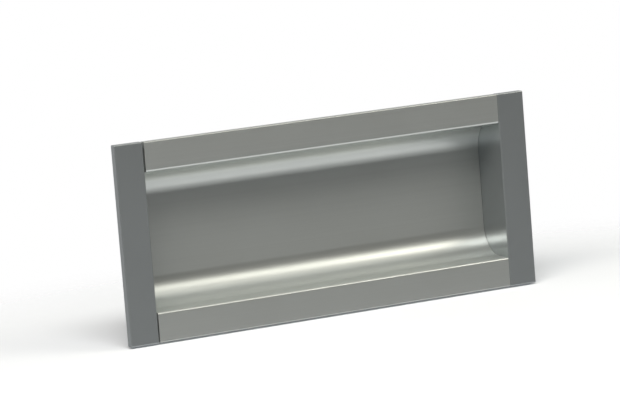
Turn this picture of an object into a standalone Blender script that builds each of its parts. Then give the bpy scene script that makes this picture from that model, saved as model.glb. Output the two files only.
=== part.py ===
"""Recessed pull for a sash, shutter or sliding door: an aluminium trough profile closed by two cast end caps.

The trough lies in a cut-out, and the flanges and caps cover the cut-out's edge. X runs along the pull, the
front faces -Y and +Z is up. The origin is the centre of the pull's box. A "depth" is measured from the
front plane towards +Y, and a "height" from the middle plane, because the section is the same above and below.
"""

import math

import bmesh
import bpy
from mathutils import Matrix, Vector

MM = 0.001

# Whole pull
LENGTH = 160 * MM
HEIGHT = 70 * MM
DEPTH = 20 * MM
SLIP_GAP = 0.3 * MM  # between pieces that slide together
TOUCH_GAP = 0.1 * MM  # between pieces that press on each other

# Extruded profile
PROFILE_TOP = 34.9 * MM  # height of the flange's outer edge
MOUTH_TOP = 24.35 * MM  # height of the trough's opening
TROUGH_DEPTH = 16.8 * MM
TROUGH_RADIUS = 10.25 * MM
WALL = 1.6 * MM
FLANGE = 1.8 * MM
RIM_DEPTH = 3 * MM  # the flange's outer edge is turned back to this depth
RIM_WIDTH = 1.6 * MM
LIP_RADIUS = 0.9 * MM
EDGE_RADIUS = 0.4 * MM
ROOT_RADIUS = 0.8 * MM  # inside corner of flange and trough
PORT_RADIUS = 3.2 * MM  # outside of the screw port
PORT_BORE = 1.6 * MM
PORT_SLOT = 0.7 * MM  # half the width of the port's open side
PORT_OFFSET = 14.05 * MM  # port's axis from the centre of the trough's corner
ROUND_STEPS = 18
SMALL_STEPS = 6
BORE_STEPS = 16

# End caps
CAP_WIDTH = 10.6 * MM
CAP_THICK = RIM_DEPTH
CAP_EDGE = 0.4 * MM
CAP_WALL = 2.4 * MM
CAP_WALL_STEP = 0.1 * MM  # the wall stands this far behind the front strip's inner edge
CAP_WALL_TOP = 28.2 * MM
CAP_WALL_CORNER = 3 * MM
BITE = 1.2 * MM  # how far a rib or tongue is sunk into what carries it
TONGUE_REACH = 2 * MM
SHELF_REACH = 2.4 * MM
SHELF_TOP = 11 * MM
SHELF_END = 19.9 * MM  # depth of the shelf's rear face
RIB_HEIGHTS = (-13 * MM, 0, 13 * MM)
RIB_THICK = 1.6 * MM
RIB_REACH = 2.3 * MM
RIB_KNEE = 4 * MM  # depth at which a rib starts to taper
RIB_DEPTH = 13 * MM

# Cap screws, self-tapping with a countersunk head that lies level with the wall
SCREW_LENGTH = 9.5 * MM
THREAD_RADIUS = 1.45 * MM
CORE_RADIUS = 1.08 * MM
THREAD_PITCH = 1.1 * MM
THREAD_START = 2.2 * MM  # below the head's top
THREAD_FLANK = 0.3 * MM  # half the width of a thread at its root
THREADS = 6
HEAD_RADIUS = 2.75 * MM
HEAD_RIM = 0.2 * MM  # the upright part of the head's edge
HEAD_HEIGHT = 1.5 * MM
SHANK_HOLE = 1.75 * MM
RECESS_ARM = 1.3 * MM
RECESS_HALF_WIDTH = 0.32 * MM
RECESS_DEPTH = 1.1 * MM
SCREW_STEPS = 24

# Foam strips that stick the flanges to the panel
STRIP_LENGTH = 133 * MM
STRIP_WIDTH = 5.2 * MM
STRIP_THICK = 1 * MM
STRIP_CORNER = 0.8 * MM

FRONT = -DEPTH / 2
INNER_END = LENGTH / 2 - CAP_WIDTH  # x of the front strip's inner edge
WALL_INNER = INNER_END + CAP_WALL_STEP
WALL_OUTER = WALL_INNER + CAP_WALL
CORNER = (TROUGH_DEPTH - TROUGH_RADIUS, MOUTH_TOP - TROUGH_RADIUS)
PORT = tuple(part + PORT_OFFSET * math.sqrt(0.5) for part in CORNER)
POCKET_BOTTOM = MOUTH_TOP + WALL + ROOT_RADIUS
POCKET_TOP = PROFILE_TOP - RIM_WIDTH


def clear_scene():
    for obj in list(bpy.data.objects):
        bpy.data.objects.remove(obj)


def new_collection(name):
    collection = bpy.data.collections.new(name)
    bpy.context.scene.collection.children.link(collection)
    return collection


def new_material(name, colour, roughness, metallic):
    material = bpy.data.materials.new(name)
    material.use_nodes = True
    shader = material.node_tree.nodes["Principled BSDF"]
    shader.inputs["Base Color"].default_value = (*colour, 1)
    shader.inputs["Roughness"].default_value = roughness
    shader.inputs["Metallic"].default_value = metallic
    return material


def put(obj, collection, parent=None, material=None):
    collection.objects.link(obj)
    obj.parent = parent
    if material:
        obj.data.materials.append(material)
    return obj


def arc(centre, radius, start, end, steps):
    """Points on a circle from one angle to another, in degrees, with both ends."""
    angles = [math.radians(start + (end - start) * i / steps) for i in range(steps + 1)]
    return [(centre[0] + radius * math.cos(a), centre[1] + radius * math.sin(a)) for a in angles]


def outline_object(name, points, thickness):
    """A flat outline in its own XY plane, made thick by the same amount to each side."""
    curve = bpy.data.curves.new(name, "CURVE")
    curve.dimensions = "2D"
    curve.fill_mode = "BOTH"
    curve.extrude = thickness / 2
    spline = curve.splines.new("POLY")
    spline.points.add(len(points) - 1)
    for point, (across, along) in zip(spline.points, points):
        point.co = (across, along, 0, 1)
    spline.use_cyclic_u = True
    guide = bpy.data.objects.new(name, curve)
    bpy.context.scene.collection.objects.link(guide)
    evaluated = guide.evaluated_get(bpy.context.evaluated_depsgraph_get())
    mesh = bpy.data.meshes.new_from_object(evaluated)
    mesh.transform(guide.matrix_world)
    bpy.data.objects.remove(guide)
    bpy.data.curves.remove(curve)
    body = bmesh.new()
    body.from_mesh(mesh)
    bmesh.ops.remove_doubles(body, verts=body.verts, dist=0.001 * MM)
    bmesh.ops.recalc_face_normals(body, faces=body.faces)
    body.to_mesh(mesh)
    body.free()
    return bpy.data.objects.new(name, mesh)


def block_object(name, low, high):
    """A box between two corners, with its origin at its middle."""
    mesh = bpy.data.meshes.new(name)
    body = bmesh.new()
    bmesh.ops.create_cube(body, size=1)
    size = [top - bottom for bottom, top in zip(low, high)]
    bmesh.ops.scale(body, vec=size, verts=body.verts)
    body.to_mesh(mesh)
    body.free()
    obj = bpy.data.objects.new(name, mesh)
    obj.location = [(bottom + top) / 2 for bottom, top in zip(low, high)]
    return obj


def stand_along_x(obj):
    """Turns an outline drawn as depth and height so that its thickness runs along X."""
    obj.rotation_euler = (math.pi / 2, 0, math.pi / 2)
    obj.location.y = FRONT
    return obj


def helper(obj, collection, parent):
    """A shape that only joins or cuts another."""
    obj.hide_render = True
    obj.display_type = "WIRE"
    return put(obj, collection, parent)


def boolean(obj, other, operation):
    modifier = obj.modifiers.new(f"{operation.lower()} {other.name}", "BOOLEAN")
    modifier.operation = operation
    modifier.object = other


def round_edges(obj, width, segments, steeper_than=math.radians(40)):
    bevel = obj.modifiers.new("rounded edges", "BEVEL")
    bevel.width = width
    bevel.segments = segments
    bevel.limit_method = "ANGLE"
    bevel.angle_limit = steeper_than


def shade_round(obj, sharp_from=35):
    obj.data.shade_smooth()
    obj.data.set_sharp_from_angle(angle=math.radians(sharp_from))


def front_outline():
    """Trough, mouth lip, flange face and turned-back rim, from the trough's back wall outwards."""
    top = PROFILE_TOP
    inside = arc(CORNER, TROUGH_RADIUS, 0, 90, ROUND_STEPS)
    lip = arc((LIP_RADIUS, MOUTH_TOP + LIP_RADIUS), LIP_RADIUS, 270, 180, SMALL_STEPS)
    edge = arc((EDGE_RADIUS, top - EDGE_RADIUS), EDGE_RADIUS, 180, 90, SMALL_STEPS)
    rear = arc((RIM_DEPTH - EDGE_RADIUS, top - EDGE_RADIUS), EDGE_RADIUS, 90, 0, SMALL_STEPS)
    rim = [(RIM_DEPTH, POCKET_TOP), (FLANGE, POCKET_TOP)]
    root = (FLANGE + ROOT_RADIUS, POCKET_BOTTOM)
    return inside + lip + edge + rear + rim + arc(root, ROOT_RADIUS, 180, 270, SMALL_STEPS)


def rear_outline():
    """Outside of the trough with its screw port, from the flange to the back wall."""
    outer = TROUGH_RADIUS + WALL
    reach = PORT_OFFSET
    on_trough = (outer**2 + reach**2 - PORT_RADIUS**2) / (2 * outer * reach)
    on_port = (PORT_RADIUS**2 + reach**2 - outer**2) / (2 * PORT_RADIUS * reach)
    spread = math.degrees(math.acos(on_trough))
    joint = math.degrees(math.acos(on_port))
    mouth = math.degrees(math.asin(PORT_SLOT / PORT_RADIUS))
    throat = math.degrees(math.asin(PORT_SLOT / PORT_BORE))
    steps = ROUND_STEPS // 2
    return (
        arc(CORNER, outer, 90, 45 + spread, steps)
        + arc(PORT, PORT_RADIUS, 225 - joint, 45 + mouth, steps)[1:]
        + arc(PORT, PORT_BORE, 45 + throat, 405 - throat, BORE_STEPS)
        + arc(PORT, PORT_RADIUS, 45 - mouth, joint - 135, steps)
        + arc(CORNER, outer, 45 - spread, 0, steps)[1:]
    )


def handle_profile(collection, material):
    upper = front_outline() + rear_outline()
    lower = [(depth, -height) for depth, height in reversed(upper)]
    long = 2 * (INNER_END - SLIP_GAP)
    profile = stand_along_x(outline_object("handle_profile", upper + lower, long))
    put(profile, collection, material=material)
    shade_round(profile)


def cap_wall(helpers, frame, name):
    """The upright wall that closes the trough, rounded at its two rear corners."""
    corner = (DEPTH - CAP_WALL_CORNER, CAP_WALL_TOP - CAP_WALL_CORNER)
    sunk = CAP_THICK - BITE
    upper = arc(corner, CAP_WALL_CORNER, 0, 90, SMALL_STEPS) + [(sunk, CAP_WALL_TOP)]
    lower = [(depth, -height) for depth, height in reversed(upper)]
    wall = stand_along_x(outline_object(f"{name}_wall", upper + lower, CAP_WALL))
    wall.location.x = WALL_INNER + CAP_WALL / 2
    return helper(wall, helpers, frame)


def cap_tongues(helpers, frame, name):
    """Two tongues that slip into the pockets behind the flanges."""
    near = FRONT + FLANGE + SLIP_GAP
    far = FRONT + RIM_DEPTH - 1.5 * TOUCH_GAP
    bottom = POCKET_BOTTOM + SLIP_GAP
    top = POCKET_TOP - SLIP_GAP
    tongues = []
    for side in (1, -1):
        low, high = sorted((side * bottom, side * top))
        corners = (INNER_END - TONGUE_REACH, near, low), (INNER_END + BITE, far, high)
        tongue = block_object(f"{name}_tongue", *corners)
        tongues.append(helper(tongue, helpers, frame))
    return tongues


def cap_shelf(helpers, frame, name):
    """A shelf that the back of the trough rests against."""
    near = FRONT + TROUGH_DEPTH + WALL + SLIP_GAP
    low = (WALL_INNER - SHELF_REACH, near, -SHELF_TOP)
    high = (WALL_INNER + BITE, FRONT + SHELF_END, SHELF_TOP)
    return helper(block_object(f"{name}_shelf", low, high), helpers, frame)


def cap_ribs(helpers, frame, name):
    """Tapered ribs that stiffen the corner between the wall and the front strip."""
    root = WALL_OUTER - BITE
    tip = WALL_OUTER + RIB_REACH
    start = FRONT + CAP_THICK - BITE
    points = [(root, start), (tip, start), (tip, FRONT + RIB_KNEE), (root, FRONT + RIB_DEPTH)]
    ribs = []
    for height in RIB_HEIGHTS:
        rib = outline_object(f"{name}_rib", points, RIB_THICK)
        rib.location.z = height
        ribs.append(helper(rib, helpers, frame))
    return ribs


def turned_object(name, profile):
    """A solid of revolution about its own Z from a half section given as radius and height, top first."""
    mesh = bpy.data.meshes.new(name)
    points = [(radius, 0, height) for radius, height in profile]
    mesh.from_pydata(points, [(i, i + 1) for i in range(len(points) - 1)], [])
    obj = bpy.data.objects.new(name, mesh)
    turned = obj.modifiers.new("turned", "SCREW")
    turned.axis = "Z"
    turned.steps = SCREW_STEPS
    turned.render_steps = SCREW_STEPS
    turned.use_merge_vertices = True
    turned.merge_threshold = 0.005 * MM
    turned.use_smooth_shade = True
    return obj


def at_screw(obj, side):
    """Lays an object's Z along a screw's axis, with its zero height level with the wall's outer face."""
    obj.rotation_euler = (0, math.pi / 2, 0)
    obj.location = (WALL_OUTER, FRONT + PORT[0], side * PORT[1])
    return obj


def cap_screw_holes(helpers, frame, name):
    """Clearance holes for the screws, with a countersink that leaves a small gap under the head."""
    mouth = HEAD_RADIUS + HEAD_RIM + 1.5 * TOUCH_GAP
    above = CAP_WALL / 2
    profile = [(0, above), (mouth + above, above), (SHANK_HOLE, SHANK_HOLE - mouth)]
    profile += [(SHANK_HOLE, -2 * CAP_WALL), (0, -2 * CAP_WALL)]
    holes = []
    for side in (1, -1):
        hole = at_screw(turned_object(f"{name}_screw_hole", profile), side)
        holes.append(helper(hole, helpers, frame))
    return holes


def end_cap(name, frame, parts, helpers, material):
    """Front strip, trough wall, tongues, shelf and ribs, cast in one piece. The same cap fits both ends."""
    low = (INNER_END, FRONT, -HEIGHT / 2)
    high = (LENGTH / 2, FRONT + CAP_THICK, HEIGHT / 2)
    cap = put(block_object(name, low, high), parts, frame, material)
    round_edges(cap, CAP_EDGE, 3)
    joined = [cap_wall(helpers, frame, name), cap_shelf(helpers, frame, name)]
    joined += cap_tongues(helpers, frame, name) + cap_ribs(helpers, frame, name)
    for piece in joined:
        boolean(cap, piece, "UNION")
    for hole in cap_screw_holes(helpers, frame, name):
        boolean(cap, hole, "DIFFERENCE")
    shade_round(cap)


def screw_profile():
    """Half section of a screw as radius and height, from the top of its head to its point."""
    neck = HEAD_RADIUS - (HEAD_HEIGHT - HEAD_RIM)
    points = [(0, 0), (HEAD_RADIUS, 0), (HEAD_RADIUS, -HEAD_RIM), (neck, -HEAD_HEIGHT)]
    for turn in range(THREADS):
        top = -THREAD_START - turn * THREAD_PITCH
        points += [
            (CORE_RADIUS, top),
            (THREAD_RADIUS, top - THREAD_FLANK),
            (CORE_RADIUS, top - 2 * THREAD_FLANK),
        ]
    return points + [(0, -SCREW_LENGTH)]


def cross_outline():
    """A plus sign, corner by corner."""
    arm, half = RECESS_ARM, RECESS_HALF_WIDTH
    quarter = [Vector((arm, half)), Vector((half, half))]
    turns = [Matrix.Rotation(math.pi / 2 * i, 2) for i in range(4)]
    return [tuple(turn @ Vector(p)) for turn in turns for p in (Vector((arm, -half)), *quarter)]


def cap_screw(name, frame, side, parts, helpers, material):
    """A self-tapping screw through the cap's wall into the profile's port, its head outwards."""
    screw = put(at_screw(turned_object(name, screw_profile()), side), parts, frame, material)
    recess = at_screw(outline_object(f"{name}_recess", cross_outline(), 2 * RECESS_DEPTH), side)
    boolean(screw, helper(recess, helpers, frame), "DIFFERENCE")


def mounting_strip(name, side, collection, material):
    """Foam tape in the pocket behind a flange. It stands a little proud of the rim, to be pressed flat."""
    middle = side * (POCKET_BOTTOM + POCKET_TOP) / 2
    near = FRONT + FLANGE + 2 * TOUCH_GAP
    low = (-STRIP_LENGTH / 2, near, middle - STRIP_WIDTH / 2)
    high = (STRIP_LENGTH / 2, near + STRIP_THICK + TOUCH_GAP, middle + STRIP_WIDTH / 2)
    strip = put(block_object(name, low, high), collection, material=material)
    body = bmesh.new()
    body.from_mesh(strip.data)
    upright = [e for e in body.edges if abs(e.verts[0].co.y - e.verts[1].co.y) > STRIP_THICK / 2]
    bmesh.ops.bevel(body, geom=upright, offset=STRIP_CORNER, segments=4, profile=0.5, affect="EDGES")
    body.to_mesh(strip.data)
    body.free()


def cap_frame(name, turn, collection):
    """An empty that carries one end's pieces. Half a turn about Y takes the right end to the left."""
    frame = bpy.data.objects.new(name, None)
    frame.rotation_euler = (0, turn, 0)
    return put(frame, collection)


def main():
    clear_scene()
    parts = new_collection("recessed_pull")
    helpers = new_collection("recessed_pull_cutters")
    anodised = new_material("satin_aluminium", (0.60, 0.60, 0.58), 0.32, 1)
    lacquer = new_material("grey_lacquered_zinc", (0.36, 0.37, 0.38), 0.38, 0.9)
    steel = new_material("zinc_plated_steel", (0.62, 0.63, 0.65), 0.3, 1)
    foam = new_material("black_foam_tape", (0.05, 0.05, 0.05), 0.9, 0)
    handle_profile(parts, anodised)
    for end, turn in (("right", 0), ("left", math.pi)):
        frame = cap_frame(f"{end}_end", turn, parts)
        end_cap(f"end_cap_{end}", frame, parts, helpers, lacquer)
        for place, height in (("upper", 1), ("lower", -1)):
            side = height * round(math.cos(turn))
            cap_screw(f"cap_screw_{end}_{place}", frame, side, parts, helpers, steel)
    for place, side in (("upper", 1), ("lower", -1)):
        mounting_strip(f"mounting_strip_{place}", side, parts, foam)


main()
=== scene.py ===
"""Looks of the recessed pull: a satin anodised trough profile between two grey cast end caps.

Every piece is built here again at a finer scale than the CAD solid it stands for, in the same places.
X runs along the pull, the front faces -Y and +Z is up. A "depth" is measured from the front plane towards
+Y, and a "height" from the middle plane, because the section is the same above and below.
"""

import math

import bmesh
import bpy
from mathutils import Matrix, Vector, noise

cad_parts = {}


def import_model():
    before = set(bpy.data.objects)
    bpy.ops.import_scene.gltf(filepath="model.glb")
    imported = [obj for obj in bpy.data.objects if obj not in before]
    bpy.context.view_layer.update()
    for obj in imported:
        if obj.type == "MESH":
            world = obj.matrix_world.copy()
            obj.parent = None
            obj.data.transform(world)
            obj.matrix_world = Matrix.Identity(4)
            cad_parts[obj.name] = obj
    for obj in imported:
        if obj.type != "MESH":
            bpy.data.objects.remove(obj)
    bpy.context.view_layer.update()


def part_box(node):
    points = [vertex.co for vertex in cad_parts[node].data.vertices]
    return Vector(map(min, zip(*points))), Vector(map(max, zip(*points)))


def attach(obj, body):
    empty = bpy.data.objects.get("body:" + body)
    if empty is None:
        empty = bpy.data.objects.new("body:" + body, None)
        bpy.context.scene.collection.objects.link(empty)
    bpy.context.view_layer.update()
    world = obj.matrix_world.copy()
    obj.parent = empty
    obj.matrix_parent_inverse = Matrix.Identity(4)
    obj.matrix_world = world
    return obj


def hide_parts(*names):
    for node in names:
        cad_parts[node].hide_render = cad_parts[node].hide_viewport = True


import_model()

MM = 0.001

# Places that the frame gives
_, PROFILE_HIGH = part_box("handle_profile")
CAP_LOW, CAP_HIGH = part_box("end_cap_right")
FRONT = CAP_LOW.y
BASE = CAP_LOW.z
HALF_LENGTH = CAP_HIGH.x
HALF_HEIGHT = CAP_HIGH.z
PROFILE_TOP = PROFILE_HIGH.z

# Section of the extruded profile
MOUTH_TOP = 24.35 * MM
TROUGH_DEPTH = 16.8 * MM
TROUGH_RADIUS = 10.25 * MM
WALL = 1.6 * MM
FLANGE = 1.8 * MM
RIM_DEPTH = 3 * MM
RIM_WIDTH = 1.6 * MM
LIP_RADIUS = 0.9 * MM
EDGE_RADIUS = 0.4 * MM
ROOT_RADIUS = 0.8 * MM
PORT_RADIUS = 3.2 * MM
PORT_BORE = 1.6 * MM
PORT_SLOT = 0.7 * MM
PORT_OFFSET = 14.05 * MM
DEBURR = 0.05 * MM  # the broken edge at a sawn end
CORNER_ROUND = 0.15 * MM  # corners of an extrusion are never quite sharp
RIGHT_GAP = 0.06 * MM
LEFT_GAP_BELOW = 0.35 * MM
LEFT_GAP_ABOVE = 0.55 * MM  # wider than below, because the saw cut isn't quite square

# End caps
CAP_WIDTH = 10.6 * MM
CAP_EDGE = 0.4 * MM
CAP_WALL = 2.4 * MM
CAP_WALL_TOP = 28.2 * MM
CAP_WALL_CORNER = 3 * MM
CAP_WALL_EDGE = 0.25 * MM
BITE = 1.2 * MM
TONGUE_REACH = 2 * MM
TONGUE_EDGE = 0.15 * MM
SHELF_REACH = 2.4 * MM
SHELF_TOP = 11 * MM
SHELF_END = 19.9 * MM
SHELF_EDGE = 0.25 * MM
RIB_HEIGHTS = (-13 * MM, 0, 13 * MM)
RIB_THICK = 1.6 * MM
RIB_REACH = 2.3 * MM
RIB_DEPTH = 13 * MM
RIB_EDGE = 0.2 * MM
RIB_KNEE = 1 * MM  # how far behind the front strip the rib's curve starts
RIB_BEND_OUT = 0.5 * MM  # the curve's middle handle, from the wall and from the front strip
RIB_BEND_BACK = 3 * MM
RIB_SINK = 0.2 * MM  # how far the curve's end sits in the wall
SLIP_GAP = 0.3 * MM
TOUCH_GAP = 0.1 * MM
SHANK_HOLE = 1.75 * MM

# Cap screws
SCREW_LENGTH = 9.5 * MM
SCREW_POINT = 1.6 * MM  # length over which the end narrows
SCREW_TIP = 0.15 * MM  # how far past the end that narrowing would reach zero
THREAD_START = 0.5 * MM  # below the head
THREAD_RADIUS = 1.45 * MM
CORE_RADIUS = 1.05 * MM
THREAD_PITCH = 1.1 * MM
THREAD_FLANK = 0.3  # width of one side of the thread, as a share of the pitch
HEAD_RADIUS = 2.75 * MM
HEAD_RIM = 0.2 * MM
HEAD_HEIGHT = 1.5 * MM
HEAD_EDGE = 0.08 * MM
HEAD_TO_CORE = 0.3 * MM
SINK_RADIUS = 3.1 * MM  # countersink in the cap, at the wall's outer face
RECESS_ARM = 1.3 * MM
RECESS_HALF_WIDTH = 0.32 * MM
RECESS_DEPTH = 1.1 * MM
RECESS_CUT_ABOVE = 0.5 * MM  # the cutter stands this far above the head
DRIVEN_FIRST = 17  # turn of the first screw about its axis, in degrees
DRIVEN_STEP = 31  # how much further each next one is turned

# Foam tape
TAPE_CORNER = 0.15 * MM
TAPE_WAVE = 0.06 * MM  # how far the knife wandered
TAPE_WAVE_ALONG = 300  # waves in a metre, along the tape and across it
TAPE_WAVE_ACROSS = 900
TAPE_STEPS = 200

# Floor
FLOOR_FRONT = -0.60
FLOOR_BACK = 2.5
FLOOR_HALF = 2.5
FLOOR_DROP = 0.6 * MM  # the shadow under the pull shows in this gap
FLOOR_MIDDLE = -0.15  # the y of the point from which the next two distances are measured
FLOOR_WHITE_TO = 0.21
FLOOR_CLEAR_FROM = 0.32

# Brightness of the room by elevation in degrees, in front of the pull and behind it
FRONT_ROOM = ((-90, 1.5), (-60, 1.5), (-47, 0.8), (-35, 1.55), (-24, 0.45), (-14, 0.6), (-10, 0), (90, 0))
BACK_SWEEP = ((-90, 0), (-40, 0.25), (-10, 0.4), (5, 0.9), (20, 0.4), (45, 0.25), (90, 0.25))
ROOM_PEAK = 2.0  # no step is brighter than this
SIDE_BLEND = 0.1  # the front and the back blend where the y of a direction is smaller than this

# Softboxes
LAMP_DISTANCE = 1.2
LAMP_WIDTH = 0.62
SOFTBOXES = (
    # name, azimuth from the front towards +X, elevation, height, watts, colour
    ("key_inner", -10, 51, 0.42, 3.4, (1, 0.985, 0.95)),
    ("key_outer", -20, 55, 0.42, 5.9, (1, 0.985, 0.95)),
    ("left", -40, 43, 0.48, 3.9, (1, 0.93, 0.86)),
    ("far_left", -60, 38, 0.46, 3.4, (1, 0.92, 0.84)),
    ("right_high", 42, 66, 0.36, 1.0, (1, 0.96, 0.86)),
    ("right_low", 42, 37, 0.36, 2.1, (1, 0.96, 0.86)),
    ("right", 60, 41, 0.36, 2.3, (1, 0.96, 0.86)),
)

# Camera, with its angles in degrees. It looks at a point in the front plane.
CAMERA_AZIMUTH = 25.61
CAMERA_ELEVATION = 7.98
CAMERA_ROLL = -4.56
CAMERA_DISTANCE = 1.2346
CAMERA_AIM_X = -0.0081
CAMERA_AIM_Z = 0.00436
CAMERA_LENS = 204.9
CAMERA_SENSOR = 36

SHARP_ANGLE = 30  # degrees between faces from which an edge stays sharp

INNER_END = HALF_LENGTH - CAP_WIDTH
WALL_INNER = INNER_END
WALL_OUTER = WALL_INNER + CAP_WALL
CORNER = (TROUGH_DEPTH - TROUGH_RADIUS, MOUTH_TOP - TROUGH_RADIUS)
PORT = tuple(part + PORT_OFFSET * math.sqrt(0.5) for part in CORNER)
POCKET_BOTTOM = MOUTH_TOP + WALL + ROOT_RADIUS
POCKET_TOP = PROFILE_TOP - RIM_WIDTH


# ---------------------------------------------------------------- mesh helpers


def arc(centre, radius, start, end, steps):
    """Points on a circle from one angle to another, in degrees, with both ends."""
    angles = [math.radians(start + (end - start) * i / steps) for i in range(steps + 1)]
    return [(centre[0] + radius * math.cos(a), centre[1] + radius * math.sin(a)) for a in angles]


def turns(points):
    """For each corner of a closed outline, the directions into it and out of it and the turn between them."""
    result = []
    for i, point in enumerate(points):
        here = Vector(point)
        into = (here - Vector(points[i - 1])).normalized()
        out = (Vector(points[(i + 1) % len(points)]) - here).normalized()
        result.append((here, into, out, into.angle_signed(out)))
    return result


def round_corners(points, radius, steps=4, sharper_than=35):
    """Puts a small arc on each sharp corner of a closed outline."""
    rounded = []
    for here, into, out, turn in turns(points):
        if abs(turn) < math.radians(sharper_than):
            rounded.append(tuple(here))
            continue
        reach = radius * math.tan(abs(turn) / 2)
        start, end = here - into * reach, here + out * reach
        for i in range(steps + 1):
            t = i / steps
            rounded.append(tuple(start * (1 - t) ** 2 + here * 2 * t * (1 - t) + end * t**2))
    return rounded


def inset(points, distance):
    """A closed outline moved inwards. The outline runs clockwise or not, so the side comes from its area."""
    area = sum(a[0] * b[1] - b[0] * a[1] for a, b in zip(points, points[1:] + points[:1]))
    side = math.copysign(distance, area)
    moved = []
    for here, into, out, _ in turns(points):
        normal = Vector((-into.y - out.y, into.x + out.x)).normalized()
        stretch = max(normal.dot(Vector((-into.y, into.x))), 0.3)
        moved.append(tuple(here + normal * side / stretch))
    return moved


def new_piece(name, body):
    """An object from a bmesh, shaded smooth with its sharp edges kept, and flat faces kept flat."""
    bmesh.ops.recalc_face_normals(body, faces=body.faces)
    mesh = bpy.data.meshes.new(name)
    body.to_mesh(mesh)
    body.free()
    piece = bpy.data.objects.new(name, mesh)
    bpy.context.scene.collection.objects.link(piece)
    finish_shading(piece)
    return piece


def finish_shading(piece):
    piece.data.shade_smooth()
    piece.data.set_sharp_from_angle(angle=math.radians(SHARP_ANGLE))
    weighted = piece.modifiers.new("flat faces stay flat", "WEIGHTED_NORMAL")
    weighted.keep_sharp = True


def extruded(rings):
    """Joins outlines of equal length into a closed body. A ring is a list of points in space."""
    body = bmesh.new()
    loops = [[body.verts.new(point) for point in ring] for ring in rings]
    for near, far in zip(loops, loops[1:]):
        for i in range(len(near)):
            j = (i + 1) % len(near)
            body.faces.new((near[i], near[j], far[j], far[i]))
    body.faces.new(loops[0][::-1])
    body.faces.new(loops[-1])
    return body


def in_space(points, x_at):
    """A depth and height outline, upright at the x that x_at gives for each height."""
    return [(x_at(height), FRONT + depth, height) for depth, height in points]


def rounded_block(name, low, high, radius, steps=3):
    body = bmesh.new()
    bmesh.ops.create_cube(body, size=1)
    bmesh.ops.scale(body, vec=Vector(high) - Vector(low), verts=body.verts)
    bmesh.ops.translate(body, vec=(Vector(high) + Vector(low)) / 2, verts=body.verts)
    bmesh.ops.bevel(body, geom=body.edges, offset=radius, segments=steps, profile=0.5, affect="EDGES")
    return new_piece(name, body)


def cone_along_x(name, centre, near_radius, far_radius, length):
    """A cone or cylinder whose radius changes towards +X."""
    body = bmesh.new()
    bmesh.ops.create_cone(
        body,
        cap_ends=True,
        segments=48,
        radius1=near_radius,
        radius2=far_radius,
        depth=length,
        matrix=Matrix.Translation(centre) @ Matrix.Rotation(math.pi / 2, 4, "Y"),
    )
    return new_piece(name, body)


def join_shapes(piece, others, operation="UNION"):
    """Boolean with each of the other shapes, which are then removed."""
    for other in others:
        modifier = piece.modifiers.new(operation, "BOOLEAN")
        modifier.operation = operation
        modifier.object = other
        evaluated = piece.evaluated_get(bpy.context.evaluated_depsgraph_get())
        mesh = bpy.data.meshes.new_from_object(evaluated)
        piece.modifiers.clear()
        piece.data = mesh
        bpy.data.objects.remove(other)
    finish_shading(piece)
    return piece


# ---------------------------------------------------------------- pieces


def profile_section():
    """Closed outline of the extrusion as depth and height, going round from the trough's back wall."""
    top = PROFILE_TOP
    front = (
        arc(CORNER, TROUGH_RADIUS, 0, 90, 48)
        + arc((LIP_RADIUS, MOUTH_TOP + LIP_RADIUS), LIP_RADIUS, 270, 180, 10)
        + arc((EDGE_RADIUS, top - EDGE_RADIUS), EDGE_RADIUS, 180, 90, 8)
        + arc((RIM_DEPTH - EDGE_RADIUS, top - EDGE_RADIUS), EDGE_RADIUS, 90, 0, 8)
        + [(RIM_DEPTH, POCKET_TOP), (FLANGE, POCKET_TOP)]
        + arc((FLANGE + ROOT_RADIUS, POCKET_BOTTOM), ROOT_RADIUS, 180, 270, 8)
    )
    outer = TROUGH_RADIUS + WALL
    on_trough = (outer**2 + PORT_OFFSET**2 - PORT_RADIUS**2) / (2 * outer * PORT_OFFSET)
    on_port = (PORT_RADIUS**2 + PORT_OFFSET**2 - outer**2) / (2 * PORT_RADIUS * PORT_OFFSET)
    spread = math.degrees(math.acos(on_trough))
    joint = math.degrees(math.acos(on_port))
    mouth = math.degrees(math.asin(PORT_SLOT / PORT_RADIUS))
    throat = math.degrees(math.asin(PORT_SLOT / PORT_BORE))
    rear = (
        arc(CORNER, outer, 90, 45 + spread, 20)
        + arc(PORT, PORT_RADIUS, 225 - joint, 45 + mouth, 20)[1:]
        + arc(PORT, PORT_BORE, 45 + throat, 405 - throat, 36)
        + arc(PORT, PORT_RADIUS, 45 - mouth, joint - 135, 20)
        + arc(CORNER, outer, 45 - spread, 0, 20)[1:]
    )
    upper = front + rear
    lower = [(depth, -height) for depth, height in reversed(upper)]
    return round_corners(upper + lower, CORNER_ROUND)


def trough_profile():
    section = profile_section()
    small = inset(section, DEBURR)

    def left_end(height):
        share = (height / HALF_HEIGHT + 1) / 2
        return -INNER_END + LEFT_GAP_BELOW + (LEFT_GAP_ABOVE - LEFT_GAP_BELOW) * share

    def right_end(height):
        return INNER_END - RIGHT_GAP

    rings = [
        in_space(small, left_end),
        in_space(section, lambda height: left_end(height) + DEBURR),
        in_space(section, lambda height: right_end(height) - DEBURR),
        in_space(small, right_end),
    ]
    return new_piece("trough_profile", extruded(rings))


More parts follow.
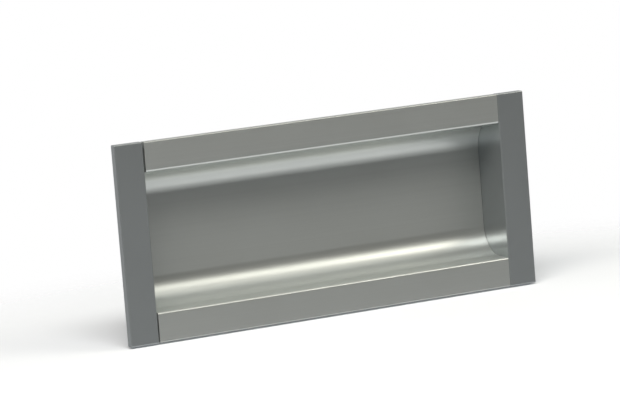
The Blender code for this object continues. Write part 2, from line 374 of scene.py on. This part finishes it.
def cap_wall():
    """The upright wall that closes the trough, with rounded rear corners and broken edges."""
    corner = (SHELF_END + TOUCH_GAP - CAP_WALL_CORNER, CAP_WALL_TOP - CAP_WALL_CORNER)
    sunk = RIM_DEPTH - BITE
    upper = arc(corner, CAP_WALL_CORNER, 0, 90, 16) + [(sunk, CAP_WALL_TOP)]
    outline = upper + [(depth, -height) for depth, height in reversed(upper)]
    edge = CAP_WALL_EDGE
    rings = [
        in_space(inset(outline, edge), lambda height: WALL_INNER),
        in_space(inset(outline, edge * 0.3), lambda height: WALL_INNER + edge * 0.3),
        in_space(outline, lambda height: WALL_INNER + edge),
        in_space(outline, lambda height: WALL_OUTER - edge),
        in_space(inset(outline, edge * 0.3), lambda height: WALL_OUTER - edge * 0.3),
        in_space(inset(outline, edge), lambda height: WALL_OUTER),
    ]
    return new_piece("cap_wall", extruded(rings))


def cap_rib(height):
    """A rib with a concave front that stiffens the corner between the wall and the front strip."""
    root = WALL_OUTER - BITE
    tip = WALL_OUTER + RIB_REACH
    start = RIM_DEPTH - BITE
    knee = (tip, RIM_DEPTH + RIB_KNEE)
    end = (WALL_OUTER - RIB_SINK, RIB_DEPTH)
    bend = (WALL_OUTER + RIB_BEND_OUT, RIM_DEPTH + RIB_BEND_BACK)
    curve = []
    steps = 12
    for i in range(steps + 1):
        t = i / steps
        curve.append(tuple(
            a * (1 - t) ** 2 + b * 2 * t * (1 - t) + c * t**2 for a, b, c in zip(knee, bend, end)
        ))
    outline = [(root, start), (tip, start)] + curve + [(root, RIB_DEPTH)]
    half = RIB_THICK / 2
    edge = RIB_EDGE
    rings = []
    for shrink, side in ((edge, -half), (0, -half + edge), (0, half - edge), (edge, half)):
        ring = inset(outline, shrink) if shrink else outline
        rings.append([(x, FRONT + depth, height + side) for x, depth in ring])
    return new_piece("cap_rib", extruded(rings))


def end_cap(name, turn):
    """Front strip, trough wall, tongues, shelf and ribs, cast in one. The same cap fits both ends."""
    low = (INNER_END, FRONT, -HALF_HEIGHT)
    high = (HALF_LENGTH, FRONT + RIM_DEPTH, HALF_HEIGHT)
    cap = rounded_block(name, low, high, CAP_EDGE, 5)
    shapes = [cap_wall()]
    near = FRONT + TROUGH_DEPTH + WALL + SLIP_GAP
    shelf_low = (WALL_INNER - SHELF_REACH, near, -SHELF_TOP)
    shelf_high = (WALL_INNER + BITE, FRONT + SHELF_END, SHELF_TOP)
    shapes.append(rounded_block("shelf", shelf_low, shelf_high, SHELF_EDGE))
    near = FRONT + FLANGE + SLIP_GAP
    far = FRONT + RIM_DEPTH - 1.5 * TOUCH_GAP
    for side in (1, -1):
        bottom, top = sorted((side * (POCKET_BOTTOM + SLIP_GAP), side * (POCKET_TOP - SLIP_GAP)))
        tongue_low = (INNER_END - TONGUE_REACH, near, bottom)
        tongue_high = (INNER_END + BITE, far, top)
        shapes.append(rounded_block("tongue", tongue_low, tongue_high, TONGUE_EDGE))
    shapes += [cap_rib(height) for height in RIB_HEIGHTS]
    join_shapes(cap, shapes)
    holes = []
    for side in (1, -1):
        centre = Vector((WALL_INNER + CAP_WALL / 2, FRONT + PORT[0], side * PORT[1]))
        holes.append(cone_along_x("hole", centre, SHANK_HOLE, SHANK_HOLE, 3 * CAP_WALL))
        grow = SINK_RADIUS - SHANK_HOLE
        centre.x = WALL_OUTER
        holes.append(cone_along_x("sink", centre, SHANK_HOLE, SINK_RADIUS + grow, 2 * grow))
    join_shapes(cap, holes, "DIFFERENCE")
    cap.data.transform(Matrix.Rotation(turn, 4, "Y"))
    return cap


def screw_body():
    """Countersunk head, shank and a real helical thread, along +Z with the head's top at zero."""
    steps = 48
    neck = HEAD_RADIUS - (HEAD_HEIGHT - HEAD_RIM)
    rim = arc((HEAD_RADIUS - HEAD_EDGE, -HEAD_EDGE), HEAD_EDGE, 90, 0, 4)
    # Each row is a radius, a height and how much of the thread's height stands on it
    rows = [(HEAD_RADIUS / 2, 0, 0)]
    rows += [(radius, height, 0) for radius, height in rim]
    rows += [(HEAD_RADIUS, -HEAD_RIM, 0), (neck, -HEAD_HEIGHT, 0)]
    rows += [(CORE_RADIUS, -HEAD_HEIGHT - HEAD_TO_CORE, 0)]
    count = 150
    run_in = 12
    start = -HEAD_HEIGHT - THREAD_START
    for i in range(count):
        height = start - (SCREW_LENGTH + start) * i / (count - 1)
        taper = min(1, (SCREW_LENGTH + height + SCREW_TIP) / SCREW_POINT)
        rows.append((CORE_RADIUS * taper, height, taper * min(1, i / run_in)))
    body = bmesh.new()
    loops = []
    for radius, height, thread in rows:
        loop = []
        for j in range(steps):
            angle = 2 * math.pi * j / steps
            phase = (height / THREAD_PITCH - j / steps) % 1
            crest = max(0, 1 - abs(phase - 0.5) / THREAD_FLANK)
            here = radius + (THREAD_RADIUS - CORE_RADIUS) * thread * crest
            loop.append(body.verts.new((here * math.cos(angle), here * math.sin(angle), height)))
        loops.append(loop)
    for near, far in zip(loops, loops[1:]):
        for j in range(steps):
            k = (j + 1) % steps
            body.faces.new((near[j], near[k], far[k], far[j]))
    body.faces.new(loops[0])
    body.faces.new(loops[-1])
    return body


def recess_cutter():
    """A cross that narrows towards its bottom."""
    arm, half = RECESS_ARM, RECESS_HALF_WIDTH
    quarter = (Vector((arm, -half)), Vector((arm, half)), Vector((half, half)))
    outline = [tuple(Matrix.Rotation(math.pi / 2 * i, 2) @ p) for i in range(4) for p in quarter]
    rings = []
    for height, size in ((-RECESS_DEPTH, 0.55), (0, 0.95), (RECESS_CUT_ABOVE, 1.1)):
        rings.append([(x * size, y * size, height) for x, y in outline])
    return new_piece("recess", extruded(rings))


def cap_screws():
    """Four screws, heads outwards, each turned a little differently, as they are when driven home."""
    screws = []
    for end, sign in (("left", -1), ("right", 1)):
        for place, side in (("upper", 1), ("lower", -1)):
            name = f"zinc_screw_{end}_{place}"
            screw = new_piece(name, screw_body())
            join_shapes(screw, [recess_cutter()], "DIFFERENCE")
            driven = Matrix.Rotation(math.radians(DRIVEN_FIRST + DRIVEN_STEP * len(screws)), 4, "Z")
            aim = Vector((0, 0, 1)).rotation_difference(Vector((sign, 0, 0))).to_matrix().to_4x4()
            seat = Matrix.Translation((sign * WALL_OUTER, FRONT + PORT[0], side * PORT[1]))
            screw.data.transform(seat @ aim @ driven)
            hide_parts(f"cap_screw_{end}_{place}")
            screws.append(screw)
    return screws


def foam_strip(name, node):
    """Foam tape with knife-cut edges that are a little uneven."""
    low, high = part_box(node)
    section = round_corners(
        [(low.y, low.z), (high.y, low.z), (high.y, high.z), (low.y, high.z)], TAPE_CORNER, steps=3
    )
    rings = []
    for i in range(TAPE_STEPS + 1):
        x = low.x + (high.x - low.x) * i / TAPE_STEPS
        ring = []
        for y, z in section:
            wave = noise.noise(Vector((x * TAPE_WAVE_ALONG, 0, z * TAPE_WAVE_ACROSS))) * TAPE_WAVE
            inward = -1 if z > (low.z + high.z) / 2 else 1
            ring.append((x, y, z + inward * abs(wave)))
        rings.append(ring)
    return new_piece(name, extruded(rings))


# ---------------------------------------------------------------- materials


class Shader:
    """A material's node tree with short calls for the nodes that are used here."""

    def __init__(self, name):
        self.material = bpy.data.materials.new(name)
        self.material.use_nodes = True
        self.nodes = self.material.node_tree.nodes
        self.links = self.material.node_tree.links
        self.out = self.nodes["Principled BSDF"]
        self.place = self.node("ShaderNodeTexCoord").outputs["Object"]

    def node(self, kind, **settings):
        node = self.nodes.new(kind)
        for key, value in settings.items():
            setattr(node, key, value)
        return node

    def feed(self, socket, value):
        if isinstance(value, bpy.types.NodeSocket):
            self.links.new(value, socket)
        else:
            socket.default_value = value

    def set(self, **values):
        for name, value in values.items():
            self.feed(self.out.inputs[name.replace("_", " ")], value)

    def noise(self, scale, detail=3, roughness=0.5):
        """Noise with its own scale along each axis, in features a metre."""
        mapping = self.node("ShaderNodeMapping")
        self.links.new(self.place, mapping.inputs["Vector"])
        mapping.inputs["Scale"].default_value = scale
        texture = self.node("ShaderNodeTexNoise")
        self.links.new(mapping.outputs[0], texture.inputs["Vector"])
        texture.inputs["Scale"].default_value = 1
        texture.inputs["Detail"].default_value = detail
        texture.inputs["Roughness"].default_value = roughness
        return texture.outputs["Fac"]

    def spread(self, value, low, high, start=0.25, end=0.75):
        """Maps start to end onto low to high."""
        node = self.node("ShaderNodeMapRange")
        self.feed(node.inputs["Value"], value)
        for socket, number in zip(("From Min", "From Max", "To Min", "To Max"), (start, end, low, high)):
            node.inputs[socket].default_value = number
        return node.outputs["Result"]

    def math(self, operation, first, second):
        node = self.node("ShaderNodeMath", operation=operation)
        self.feed(node.inputs[0], first)
        self.feed(node.inputs[1], second)
        return node.outputs[0]

    def mix(self, share, first, second):
        node = self.node("ShaderNodeMix", data_type="RGBA")
        self.feed(node.inputs["Factor"], share)
        self.feed(node.inputs[6], (*first, 1) if isinstance(first, tuple) else first)
        self.feed(node.inputs[7], (*second, 1) if isinstance(second, tuple) else second)
        return node.outputs[2]

    def bump(self, height, strength, distance):
        node = self.node("ShaderNodeBump")
        self.feed(node.inputs["Height"], height)
        node.inputs["Strength"].default_value = strength
        node.inputs["Distance"].default_value = distance
        return node.outputs["Normal"]

    def edges(self, radius):
        """Near 1 on edges and 0 on flat faces."""
        bevel = self.node("ShaderNodeBevel", samples=6)
        bevel.inputs["Radius"].default_value = radius
        true_normal = self.node("ShaderNodeNewGeometry").outputs["Normal"]
        dot = self.node("ShaderNodeVectorMath", operation="DOT_PRODUCT")
        self.links.new(bevel.outputs[0], dot.inputs[0])
        self.links.new(true_normal, dot.inputs[1])
        return self.spread(dot.outputs["Value"], 1, 0, 0.9, 0.995)


def anodised_aluminium():
    """Satin anodised extrusion: fine die lines along X under an even, faintly milky oxide, with a painted
    highlight that lightens its edges.
    """
    m = Shader("satin_anodised_aluminium")
    grain = m.noise((180, 5200, 5200), detail=2)
    lines = m.noise((2, 900, 900), detail=2)
    cloud = m.noise((45, 60, 60), detail=3)
    tone = m.mix(m.spread(lines, 0, 1), (0.484, 0.507, 0.492), (0.517, 0.542, 0.525))
    tone = m.mix(m.spread(cloud, 0, 0.25), tone, (0.474, 0.500, 0.492))
    # Painted highlight: the rounded edges and lips are lighter in the colour itself, standing in for the
    # light their small radii catch
    tone = m.mix(m.math("MULTIPLY", m.edges(0.25 * MM), 0.5), tone, (0.60, 0.62, 0.605))
    rough = m.math("ADD", m.spread(grain, 0.29, 0.35), m.spread(cloud, -0.015, 0.02))
    m.set(Base_Color=tone, Roughness=rough, Metallic=0.75)
    return m.material


def cast_lacquer():
    """Grey metallic lacquer over a die casting: a fine sparkle, a very slight orange peel, and a painted
    highlight that lightens the edges.
    """
    m = Shader("grey_lacquered_casting")
    peel = m.noise((900, 900, 900), detail=2)
    flake = m.noise((9000, 9000, 9000), detail=1)
    cloud = m.noise((60, 60, 40), detail=3)
    tone = m.mix(m.spread(flake, 0, 1), (0.309, 0.333, 0.342), (0.355, 0.382, 0.392))
    tone = m.mix(m.spread(cloud, 0, 0.3), tone, (0.309, 0.331, 0.338))
    # Painted highlight: the rounded edges are lighter in the colour itself, standing in for the light their
    # roundings catch
    tone = m.mix(m.math("MULTIPLY", m.edges(0.5 * MM), 0.8), tone, (0.56, 0.60, 0.59))
    rough = m.math("ADD", m.spread(flake, 0.28, 0.34), m.spread(cloud, -0.02, 0.02))
    normal = m.bump(peel, 0.06, 0.05 * MM)
    m.set(Base_Color=tone, Roughness=rough, Normal=normal, Metallic=0.75)
    return m.material


def zinc_plate():
    """Bright zinc plating, a little blue and a little yellow in patches, rubbed on the edges."""
    m = Shader("zinc_plated_steel")
    patch = m.noise((700, 700, 700), detail=3)
    fine = m.noise((6000, 6000, 6000), detail=3)
    tone = m.mix(m.spread(patch, 0, 1), (0.60, 0.63, 0.67), (0.68, 0.66, 0.58))
    tone = m.mix(m.edges(0.15 * MM), tone, (0.78, 0.78, 0.77))
    rough = m.math("ADD", m.spread(fine, 0.2, 0.34), m.spread(patch, 0, 0.08))
    m.set(Base_Color=tone, Roughness=rough, Normal=m.bump(fine, 0.15, 0.02 * MM), Metallic=1)
    return m.material


def closed_cell_foam():
    """Black foam tape: small open pits where the cells are cut, with painted shade darkening their bottoms,
    and a dusty top.
    """
    m = Shader("black_foam_tape")
    cells = m.node("ShaderNodeTexVoronoi")
    m.links.new(m.place, cells.inputs["Vector"])
    cells.inputs["Scale"].default_value = 3200
    pits = m.spread(cells.outputs["Distance"], 0, 1, 0.05, 0.55)
    dust = m.noise((300, 900, 900), detail=4)
    # Painted shade: the colour is darker towards the bottom of each pit, where shade falls
    tone = m.mix(m.spread(pits, 1, 0), (0.040, 0.040, 0.042), (0.016, 0.016, 0.017))
    tone = m.mix(m.spread(dust, 0, 0.35), tone, (0.085, 0.083, 0.080))
    m.set(Base_Color=tone, Roughness=m.spread(dust, 0.78, 0.95), Normal=m.bump(pits, 0.5, 0.12 * MM))
    m.set(Metallic=0)
    return m.material


def pale_floor():
    """Matt white paper that opens into the white around it away from the pull, so there is no horizon."""
    m = Shader("pale_floor")
    tone = m.mix(m.noise((12, 12, 12)), (0.835, 0.868, 0.905), (0.860, 0.894, 0.932))
    m.set(Base_Color=tone, Roughness=0.8, Specular_IOR_Level=0.2)
    distance = m.node("ShaderNodeVectorMath", operation="DISTANCE")
    m.links.new(m.place, distance.inputs[0])
    distance.inputs[1].default_value = (0, FLOOR_MIDDLE, BASE)
    share = m.node("ShaderNodeMapRange", interpolation_type="SMOOTHSTEP")
    m.links.new(distance.outputs["Value"], share.inputs["Value"])
    share.inputs["From Min"].default_value = FLOOR_WHITE_TO
    share.inputs["From Max"].default_value = FLOOR_CLEAR_FROM
    clear = m.node("ShaderNodeBsdfTransparent")
    fade = m.node("ShaderNodeMixShader")
    m.links.new(share.outputs["Result"], fade.inputs[0])
    m.links.new(m.out.outputs[0], fade.inputs[1])
    m.links.new(clear.outputs[0], fade.inputs[2])
    m.links.new(fade.outputs[0], m.nodes["Material Output"].inputs["Surface"])
    return m.material


# ---------------------------------------------------------------- studio


def floor():
    body = bmesh.new()
    bmesh.ops.create_grid(body, x_segments=1, y_segments=1, size=1)
    bmesh.ops.scale(body, vec=(FLOOR_HALF, (FLOOR_BACK - FLOOR_FRONT) / 2, 1), verts=body.verts)
    bmesh.ops.translate(body, vec=(0, (FLOOR_BACK + FLOOR_FRONT) / 2, BASE - FLOOR_DROP), verts=body.verts)
    plane = new_piece("floor", body)
    plane.data.materials.append(pale_floor())
    plane.visible_glossy = False  # reflections show the world's own floor instead


def ramp(nodes, links, value, stops):
    """Grey values at given elevations in degrees, with straight lines between them."""
    curve = nodes.new("ShaderNodeValToRGB")
    share = nodes.new("ShaderNodeMapRange")
    links.new(value, share.inputs["Value"])
    share.inputs["From Min"].default_value = -90
    share.inputs["From Max"].default_value = 90
    links.new(share.outputs[0], curve.inputs[0])
    elements = curve.color_ramp.elements
    while len(elements) > 1:
        elements.remove(elements[-1])
    for i, (elevation, grey) in enumerate(stops):
        place = (elevation + 90) / 180
        element = elements[0] if i == 0 else elements.new(place)
        element.position = place
        element.color = (grey / ROOM_PEAK, grey / ROOM_PEAK, grey / ROOM_PEAK, 1)
    return curve.outputs[0]


def world():
    """White to the camera. To reflections and as light, a pale sweep behind and a dark room in front.

    Below the horizon the front holds the floor that reflections see, because the floor itself is hidden
    from them.
    """
    scene_world = bpy.data.worlds.new("studio")
    bpy.context.scene.world = scene_world
    scene_world.use_nodes = True
    # Rays sampled towards the world would be stopped by the floor, which reflections pass through
    scene_world.cycles.sampling_method = "NONE"
    nodes = scene_world.node_tree.nodes
    links = scene_world.node_tree.links
    nodes.clear()
    place = nodes.new("ShaderNodeTexCoord")
    split = nodes.new("ShaderNodeSeparateXYZ")
    links.new(place.outputs["Generated"], split.inputs[0])
    height = nodes.new("ShaderNodeMath")
    height.operation = "ARCSINE"
    links.new(split.outputs["Z"], height.inputs[0])
    elevation = nodes.new("ShaderNodeMath")
    elevation.operation = "DEGREES"
    links.new(height.outputs[0], elevation.inputs[0])
    behind = nodes.new("ShaderNodeMapRange")
    links.new(split.outputs["Y"], behind.inputs["Value"])
    behind.inputs["From Min"].default_value = -SIDE_BLEND
    behind.inputs["From Max"].default_value = SIDE_BLEND
    room = nodes.new("ShaderNodeMix")
    room.data_type = "RGBA"
    links.new(behind.outputs[0], room.inputs["Factor"])
    links.new(ramp(nodes, links, elevation.outputs[0], FRONT_ROOM), room.inputs[6])
    links.new(ramp(nodes, links, elevation.outputs[0], BACK_SWEEP), room.inputs[7])
    seen = nodes.new("ShaderNodeBackground")
    seen.inputs["Color"].default_value = (1, 1, 1, 1)
    seen.inputs["Strength"].default_value = 1.0
    around = nodes.new("ShaderNodeBackground")
    links.new(room.outputs[2], around.inputs["Color"])
    around.inputs["Strength"].default_value = ROOM_PEAK
    choose = nodes.new("ShaderNodeMixShader")
    links.new(nodes.new("ShaderNodeLightPath").outputs["Is Camera Ray"], choose.inputs[0])
    links.new(around.outputs[0], choose.inputs[1])
    links.new(seen.outputs[0], choose.inputs[2])
    links.new(choose.outputs[0], nodes.new("ShaderNodeOutputWorld").inputs[0])


def softbox(name, azimuth, elevation, height, watts, colour):
    """A rectangular light that faces the pull."""
    light = bpy.data.lights.new(name, "AREA")
    light.shape = "RECTANGLE"
    light.size = LAMP_WIDTH
    light.size_y = height
    light.energy = watts
    light.color = colour
    lamp = bpy.data.objects.new(name, light)
    bpy.context.scene.collection.objects.link(lamp)
    a, e = math.radians(azimuth), math.radians(elevation)
    towards = Vector((math.sin(a) * math.cos(e), -math.cos(a) * math.cos(e), math.sin(e)))
    lamp.location = towards * LAMP_DISTANCE
    lamp.rotation_euler = towards.to_track_quat("Z", "Y").to_euler()


def lights():
    for settings in SOFTBOXES:
        softbox(*settings)


def camera():
    """Left of the front and a little above it, with a slight roll."""
    azimuth, elevation, roll = map(math.radians, (CAMERA_AZIMUTH, CAMERA_ELEVATION, CAMERA_ROLL))
    target = Vector((CAMERA_AIM_X, FRONT, CAMERA_AIM_Z))
    towards = Vector((
        -math.sin(azimuth) * math.cos(elevation),
        -math.cos(azimuth) * math.cos(elevation),
        math.sin(elevation),
    ))
    data = bpy.data.cameras.new("camera")
    data.lens = CAMERA_LENS
    data.sensor_width = CAMERA_SENSOR
    eye = bpy.data.objects.new("camera", data)
    bpy.context.scene.collection.objects.link(eye)
    level = towards.to_track_quat("Z", "Y").to_matrix()
    turned = level @ Matrix.Rotation(roll, 3, "Z")
    eye.matrix_world = Matrix.Translation(target + towards * CAMERA_DISTANCE) @ turned.to_4x4()
    bpy.context.scene.camera = eye


# ---------------------------------------------------------------- assembly


def finish_piece(piece, material, node=None):
    piece.data.materials.clear()
    piece.data.materials.append(material)
    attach(piece, "root")
    if node:
        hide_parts(node)


def main():
    camera()
    floor()
    world()
    lights()
    bpy.context.scene.view_settings.view_transform = "Standard"
    finish_piece(trough_profile(), anodised_aluminium(), "handle_profile")
    lacquer = cast_lacquer()
    for end, turn in (("right", 0), ("left", math.pi)):
        finish_piece(end_cap(f"cast_end_cap_{end}", turn), lacquer, f"end_cap_{end}")
    zinc = zinc_plate()
    for screw in cap_screws():
        finish_piece(screw, zinc)
    foam = closed_cell_foam()
    for place in ("upper", "lower"):
        node = f"mounting_strip_{place}"
        finish_piece(foam_strip(f"foam_strip_{place}", node), foam, node)


main()
